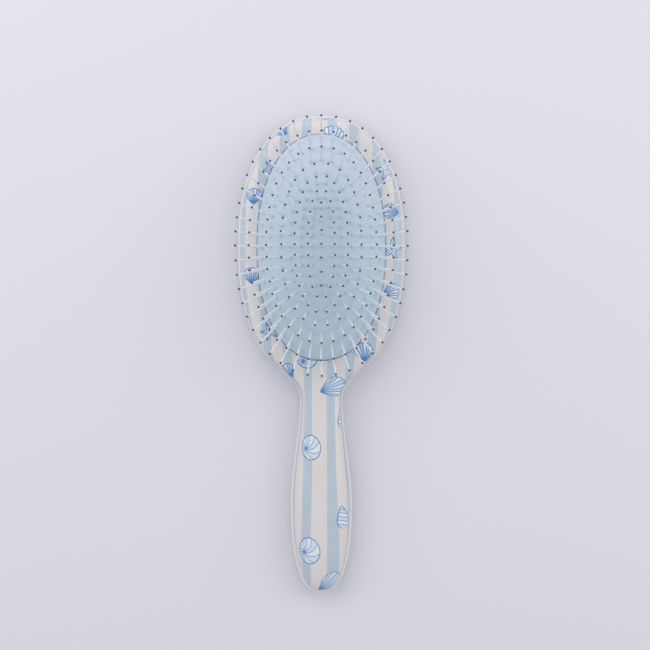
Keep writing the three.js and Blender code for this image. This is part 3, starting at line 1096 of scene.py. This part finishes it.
@dataclass
class Shell:
    """One moulded half of the body: an outer and an inner skin joined round a rolled edge.

    Both skins share one plan of triangles, so every outer vertex has an inner one under it.
    """

    name: str
    node: str
    side: Side
    shape: BodyShape
    swell: SkinSwell
    rim: float = 0.0
    opening: Oval | None = None
    wall: float = 2.0
    edge_gap: float = 0.55
    edge_roll: tuple[tuple[float, float], ...] = (
        (0.03, 0.33),
        (0.09, 0.2),
        (0.2, 0.12),
        (0.35, 0.1),
        (0.9, 0.1),
    )
    row_pitch: float = 1.25
    columns: int = 48
    lip_radius: float = 0.45
    lip_loops: tuple[float, ...] = (0.0, 0.02, 0.08, 0.18, 0.31, 0.45, 0.8, 1.4)
    opening_steps: int = 240
    opening_blend: float = 5.0
    opening_clearance: float = 0.5
    film_steps: tuple[int, int] = (120, 60)
    film_across: np.ndarray | None = None
    film_along: np.ndarray | None = None

    def lay_film(self) -> None:
        """Measures how the flat film lies over the skin, from the centre line and head's centre."""
        rows, columns = self.film_steps
        y = -self.reach * np.cos(math.pi * np.arange(rows + 1) / rows)
        share = np.sin(math.pi / 2 * np.arange(columns + 1) / columns)
        halves = np.array([self.outline_half(v) for v in y])
        heights = np.array([[self.rise(half * s, v) for s in share] for half, v in zip(halves, y)])
        steps = np.hypot(np.diff(halves[:, None] * share, axis=1), np.diff(heights, axis=1))
        self.film_across = np.column_stack([np.zeros(rows + 1), np.cumsum(steps, axis=1)])
        walked = np.concatenate([[0], np.cumsum(np.hypot(np.diff(y), np.diff(heights[:, 0])))])
        centre = self.shape.head_centre
        self.film_along = walked - np.interp(centre, y, walked) + centre

    def flatten(self, x: float, y: float) -> tuple[float, float]:
        """Finds where a plan place lies on the flat film.

        Args:
            x: The place across.
            y: The place along.

        Returns:
            The distances over the skin, across from the centre line and along.
        """
        rows, columns = self.film_steps
        row = math.acos(min(1.0, max(-1.0, -y / self.reach))) * rows / math.pi
        half = self.outline_half(y)
        column = math.asin(min(1.0, abs(x) / half if half > 0 else 0.0)) * columns / (math.pi / 2)
        low, left = min(rows - 1, int(row)), min(columns - 1, int(column))
        up, over = row - low, column - left
        table = self.film_across
        across = (table[low, left] * (1 - over) + table[low, left + 1] * over) * (1 - up)
        across += (table[low + 1, left] * (1 - over) + table[low + 1, left + 1] * over) * up
        along = self.film_along[low] * (1 - up) + self.film_along[low + 1] * up
        return math.copysign(across, x), along

    @property
    def reach(self) -> float:
        """The distance from the middle of the brush to this shell's ends."""
        return self.shape.length / 2 - self.rim

    def nominal(self, y: float) -> float:
        """Returns the plain half-width near a place, which insets are measured against."""
        share = smooth_share(self.shape.head_centre - y, self.shape.neck_start, self.shape.neck_end)
        head, neck = self.shape.head_half_width, self.shape.neck_half_width
        return head + (neck - head) * share

    def outline_half(self, y: float) -> float:
        """Returns this shell's half-width, drawn in from the body's outline by the rim."""
        body_y = y * self.shape.length / 2 / self.reach
        return self.shape.half_width(body_y) * (1 - self.rim / self.nominal(body_y))

    def rise(self, x: float, y: float) -> float:
        """Returns the outer skin's height from the parting plane at a place."""
        half = self.outline_half(y)
        across = min(1.0, abs(x) / half) if half > 0 else 1.0
        return self.swell.rise(self.shape, y * self.shape.length / 2 / self.reach, across)

    def opening_distance(self, x: float, y: float) -> float:
        """Measures from the opening's edge.

        Args:
            x: The place across.
            y: The place along.

        Returns:
            The distance outside the edge, less than 0 inside it.
        """
        along = y - self.shape.head_centre
        here = self.opening.share(x, along)
        step = 0.01
        slope_x = (self.opening.share(x + step, along) - here) / step
        slope_y = (self.opening.share(x, along + step) - here) / step
        return (here - 1) / max(1e-6, math.hypot(slope_x, slope_y))

    def outer_point(self, x: float, y: float) -> tuple[float, float, float]:
        """Lifts a plan place to the outer skin, with the lip round the opening turned down.

        Args:
            x: The place across.
            y: The place along.

        Returns:
            The vertex.
        """
        rise = max(self.rise(x, y), self.edge_gap)
        if self.opening:
            back = self.lip_radius - max(0.0, self.opening_distance(x, y))
            if back > 0:
                rise -= self.lip_radius - math.sqrt(self.lip_radius**2 - back**2)
        return x, y, max(0.0, self.shape.parting + self.side.value * rise)

    def inner_point(self, x: float, y: float) -> tuple[float, float, float]:
        """Lifts a plan place to the inner skin, drawn in from the outline but not at the opening.

        Args:
            x: The place across.
            y: The place along.

        Returns:
            The vertex.
        """
        full = self.rise(x, y)
        rise = max(self.edge_gap, full - self.wall * min(1.0, full / self.swell.head_rise))
        draw = 1.0
        if self.opening:
            draw = smooth_share(self.opening_distance(x, y), 0, self.opening_blend)
        x *= 1 - draw * self.wall / self.nominal(y)
        y *= 1 - draw * self.wall / self.reach
        z = self.shape.parting + self.side.value * rise
        return x, y, max(self.wall, z) if self.side is Side.BACK else z

    def plan(self) -> tuple[list[tuple[float, float]], list[list[int]]]:
        """Lays out the plan's points, closer together towards the outline and round the opening.

        Returns:
            The points, and the loops that have to be kept: the outline, then those of the opening.
        """
        rows = int(2 * self.reach / self.row_pitch)
        points = [(0.0, -self.reach), (0.0, self.reach)]
        left, right = [], []
        for r in range(1, rows):
            y = -self.reach * math.cos(math.pi * r / rows)
            half = self.outline_half(y)
            for c in range(self.columns + 1):
                x = -half * math.cos(math.pi * c / self.columns)
                if c == 0:
                    left.append(len(points))
                if c == self.columns:
                    right.append(len(points))
                if c in (0, self.columns) or self.clear_of_opening(x, y):
                    points.append((x, y))
        loops = [[0, *right, 1, *reversed(left)]]
        for offset in self.lip_loops if self.opening else ():
            loop = self.opening.grown(offset).points(self.opening_steps)
            loops.append(list(range(len(points), len(points) + len(loop))))
            points += [(x, y + self.shape.head_centre) for x, y in loop]
        return points, loops

    def clear_of_opening(self, x: float, y: float) -> bool:
        """Tells whether a grid point keeps clear of the loops round the opening."""
        if self.opening is None:
            return True
        return self.opening_distance(x, y) > self.lip_loops[-1] + self.opening_clearance

    def build(self, material: bpy.types.Material) -> bpy.types.Object:
        """Builds the shell.

        Args:
            material: The printed plastic.

        Returns:
            The shell, riding on the handle's body.
        """
        points, loops = self.plan()
        edges = [pair for loop in loops for pair in zip(loop, loop[1:] + loop[:1])]
        places = [Vector(p) for p in points]
        flat, _, triangles, sources, *_ = delaunay_2d_cdt(places, edges, [], 1, 1e-5)
        where = {source: i for i, group in enumerate(sources) for source in group}
        hole = {where[i] for loop in loops[1:2] for i in loop}
        kept = [t for t in triangles if not hole.issuperset(t)]
        count = len(flat)
        placed = [self.outer_point(*p) for p in flat] + [self.inner_point(*p) for p in flat]
        faces = [tuple(t) for t in kept] + [tuple(count + i for i in reversed(t)) for t in kept]
        outline = [where[i] for i in loops[0]]
        self.join(outline, [count + i for i in outline], self.edge_roll, placed, faces)
        if self.opening:
            lip = [where[i] for i in loops[1]]
            self.join(lip, [count + i for i in lip], (), placed, faces)
        if self.side is Side.BACK:
            faces = [tuple(reversed(f)) for f in faces]
        film = [self.flatten(*p) for p in flat] * 2
        film += [film[i] for _ in self.edge_roll for i in outline]
        piece = make_piece(self.name, np.array(placed), faces, material, np.array(film))
        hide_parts(self.node)
        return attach(piece, "handle")

    def join(
        self, outer: list[int], inner: list[int], roll: tuple, placed: list, faces: list
    ) -> None:
        """Joins the two skins along a loop.

        Args:
            outer: The outer skin's vertices round the loop.
            inner: The inner skin's vertices round the loop.
            roll: How far in and how far from the parting plane each row between them lies.
            placed: The vertices, which grow.
            faces: The faces, which grow.
        """
        rows = [outer]
        for share, height in roll:
            rows.append(list(range(len(placed), len(placed) + len(outer))))
            z = self.shape.parting + self.side.value * height
            for a, b in zip(outer, inner):
                x, y = (placed[a][k] + (placed[b][k] - placed[a][k]) * share for k in (0, 1))
                placed.append((x, y, z))
        rows.append(inner)
        for here, there in zip(rows, rows[1:]):
            for i in range(len(here)):
                j = (i + 1) % len(here)
                faces.append((here[j], here[i], there[i], there[j]))


@dataclass
class Body:
    """The paddle and handle: two printed shells and the clamp ring between them."""

    shape: BodyShape
    cushion: Cushion
    front_swell: SkinSwell = SkinSwell(5.5, 8.0, 14.0, 2.6, 2.5)
    back_swell: SkinSwell = SkinSwell(6.9, 6.8, 5.0, 2.6, 2.0)
    opening_gap: float = 0.12
    front_rim: float = 1.1
    bare_edge: float = 1.0
    back_seed: int = 11
    back_rows: tuple[int, float, float] = (13, 108.0, 18.0)
    front_motifs: tuple[PlacedMotif, ...] = (
        PlacedMotif(Motif.FAN_SHELL, 5.0, -16.6, 7.2, -70, 0.7, 0.9),
        PlacedMotif(Motif.ROUND_SHELL, -5.2, -46.3, 6.4, 8, 0.35, 0.8),
        PlacedMotif(Motif.ROUND_SHELL, -6.0, -97.5, 6.9, 14, 0.35, 0.8),
        PlacedMotif(Motif.CONE_SHELL, 9.6, -31.3, 5.2, 8, 0.3, 1.1),
        PlacedMotif(Motif.CONE_SHELL, 11.0, -80.8, 5.6, 14, 0.4, 1.1),
        PlacedMotif(Motif.FAN_SHELL, 3.6, -114.0, 7.6, -52, 0.6, 0.75),
        PlacedMotif(Motif.FAN_SHELL, -33.6, 78.0, 4.3, 0, 1.0, 1.25),
        PlacedMotif(Motif.FAN_SHELL, -34.6, 38.6, 4.3, 4, 1.0, 1.25),
        PlacedMotif(Motif.FAN_SHELL, 35.2, 71.0, 4.4, 80, 0.9, 1.1),
        PlacedMotif(Motif.FAN_SHELL, 34.2, 30.8, 4.8, -70, 0.8, 1.1),
        PlacedMotif(Motif.FAN_SHELL, 21.2, 0.6, 5.1, 8, 1.0, 1.2),
        PlacedMotif(Motif.FAN_SHELL, 5.4, 107.0, 6.4, -4, 0.6, 1.2),
        PlacedMotif(Motif.ROUND_SHELL, -7.0, -1.8, 5.4, 40, 0.35),
        PlacedMotif(Motif.STAR, 32.6, 91.6, 5.8, 12, 0.0),
        PlacedMotif(Motif.STAR, 35.0, 52.2, 6.2, -8, 0.0),
        PlacedMotif(Motif.STAR, -25.8, 11.2, 4.6, 20, 0.0),
        PlacedMotif(Motif.STAR, -25.2, 92.0, 4.4, 30, 0.0),
        PlacedMotif(Motif.FAN_SHELL, -19.6, 111.4, 4.2, 50, 0.8, 1.1),
        PlacedMotif(Motif.CONE_SHELL, -6.8, 118.6, 4.2, 78, 0.3),
        PlacedMotif(Motif.FAN_SHELL, -16.4, -8.6, 4.0, 40, 1.0, 1.2),
    )

    def back_motifs(self) -> tuple[PlacedMotif, ...]:
        """Scatters motifs over the back in staggered rows.

        Returns:
            The placed motifs.
        """
        chance = random.Random(self.back_seed)
        kinds = list(Motif)
        placed = []
        rows, top, pitch = self.back_rows
        for row in range(rows):
            y = top - row * pitch
            room = self.shape.half_width(y) - 5
            on_head = [-27.0, 0.0, 27.0] if row % 2 else [-14.0, 14.0]
            on_handle = [-3.5 if row % 2 else 3.5]
            for x in on_head if room > 20 else on_handle:
                if abs(x) < room:
                    spot = (x + chance.uniform(-2, 2), y + chance.uniform(-2.5, 2.5))
                    kind = kinds[(row + len(placed)) % len(kinds)]
                    radius, turn = chance.uniform(4.6, 6.4), chance.uniform(0, 360)
                    placed.append(PlacedMotif(kind, *spot, radius, turn, 0.6))
        return tuple(placed)

    def build(self) -> None:
        """Builds both shells."""
        opening = self.cushion.oval.grown(self.opening_gap)
        front = Shell("printed_front_shell", "front_shell", Side.FRONT, self.shape, self.front_swell)
        front.rim, front.opening = self.front_rim, opening
        front.lay_film()
        front_print = PrintedAbs("abs_moulded_film_printed_front", self.front_motifs)
        LOG.info("built %s", front.build(front_print.make(front.flatten)).name)
        back = Shell("printed_back_shell", "back_shell", Side.BACK, self.shape, self.back_swell)
        back.lay_film()
        bare_from = self.shape.parting - self.bare_edge
        back_motifs = self.back_motifs()
        back_print = PrintedAbs("abs_moulded_film_printed_back", back_motifs, bare_from=bare_from)
        LOG.info("built %s", back.build(back_print.make(back.flatten)).name)

    @staticmethod
    def dress_clamp(node: bpy.types.Object) -> None:
        """Gives the hidden clamp ring its own plastic.

        Args:
            node: The clamp ring.
        """
        # Undyed moulded ABS is a warm off-white, and is left matt where it doesn't show.
        natural = SmoothPlastic("abs_moulded_natural", "E6E3DE", "DDD9D3", 0.5).make()
        node.data.materials.clear()
        node.data.materials.append(natural)


# ---- Studio ----


@dataclass(frozen=True)
class SoftLight:
    """A square light that faces the brush: its place and side in metres, and its power in watts."""

    name: str
    place: tuple[float, float, float]
    size: float
    power: float


@dataclass(frozen=True)
class Studio:
    """A pale floor, soft lights, and a camera straight over the brush."""

    distance: float = 930.0
    plane: float = 6.5
    millimetres_wide: float = 324.7
    shift: tuple[float, float] = (0.0056, 0.045)
    sensor: float = 36.0
    clip: tuple[float, float] = (0.01, 10.0)
    floor_colour: str = "DFDFE6"
    floor_reach: float = 3.0
    floor_drop: float = 0.0005
    floor_grain: float = 2.5
    air_colour: str = "EEEEF2"
    air_strength: float = 0.78
    soft_lights: tuple[SoftLight, ...] = (
        SoftLight("key", (-0.15, 0.6, 0.5), 0.5, 1.0),
        SoftLight("left", (-0.7, 0.25, 0.45), 0.6, 1.5),
        SoftLight("right", (0.7, 0.25, 0.45), 0.6, 1.7),
    )

    def camera(self) -> None:
        """Makes the camera."""
        data = bpy.data.cameras.new("camera")
        data.sensor_width = self.sensor
        data.lens = self.sensor * self.distance / self.millimetres_wide
        data.shift_x, data.shift_y = self.shift
        data.clip_start, data.clip_end = self.clip
        camera = bpy.data.objects.new("camera", data)
        camera.location = (0, 0, (self.distance + self.plane) * MM)
        bpy.context.scene.collection.objects.link(camera)
        bpy.context.scene.camera = camera

    def floor(self) -> None:
        """Makes the floor."""
        mesh = bpy.data.meshes.new("floor")
        reach, z = self.floor_reach, -self.floor_drop
        corners = [(-reach, -reach, z), (reach, -reach, z), (reach, reach, z), (-reach, reach, z)]
        mesh.from_pydata(corners, [], [(0, 1, 2, 3)])
        # Emulsion rolled on board dries matt, with a fine grain in its shine.
        material, tree = new_material("painted_board_pale")
        place = add_node(tree, "TexCoord", out="Object")
        scale = noise_scale(self.floor_grain)
        grain = add_node(tree, "TexNoise", {"Vector": place, "Scale": scale, "Detail": 2.0})
        rough = add_node(tree, "MapRange", {0: grain, 3: 0.7, 4: 0.85})
        finish_surface(tree, {"Base Color": linear(self.floor_colour), "Roughness": rough})
        mesh.materials.append(material)
        floor = bpy.data.objects.new("floor", mesh)
        bpy.context.scene.collection.objects.link(floor)
        floor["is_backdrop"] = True

    @staticmethod
    def light(soft: SoftLight) -> None:
        """Adds one soft light.

        Args:
            soft: The light.
        """
        data = bpy.data.lights.new(soft.name, "AREA")
        data.size, data.energy = soft.size, soft.power
        lamp = bpy.data.objects.new(soft.name, data)
        lamp.location = soft.place
        lamp.rotation_mode = "QUATERNION"
        lamp.rotation_quaternion = (-Vector(soft.place)).to_track_quat("-Z", "Y")
        bpy.context.scene.collection.objects.link(lamp)

    def lights(self) -> None:
        """Makes the lights and the pale surroundings."""
        for soft in self.soft_lights:
            self.light(soft)
        world = bpy.data.worlds.new("surroundings")
        world.use_nodes = True
        air = world.node_tree.nodes["Background"].inputs
        air["Color"].default_value = linear(self.air_colour)
        air["Strength"].default_value = self.air_strength
        bpy.context.scene.world = world
        bpy.context.scene.view_settings.view_transform = "Standard"


def main() -> None:
    """Builds the brush round its frame."""
    logging.basicConfig(level=logging.INFO, format="%(name)s: %(message)s")
    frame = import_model()
    cad_low, cad_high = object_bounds()
    studio = Studio()
    studio.camera()
    studio.floor()
    studio.lights()
    cushion_low, cushion_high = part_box("cushion")
    centre = (cushion_low.y + cushion_high.y) / 2 / MM
    cushion = Cushion(centre)
    field_of_pins = PinField(centre, cushion)
    pins = field_of_pins.plan()
    LOG.info("placed %d pins", len(pins))
    LOG.info("built %s", cushion.build(pins).name)
    for piece in field_of_pins.build():
        LOG.info("built %s", piece.name)
    body = Body(BodyShape((cad_high.y - cad_low.y) / MM, centre), cushion)
    body.build()
    body.dress_clamp(frame["nodes"]["clamp_ring"])


if __name__ == "__main__":
    main()
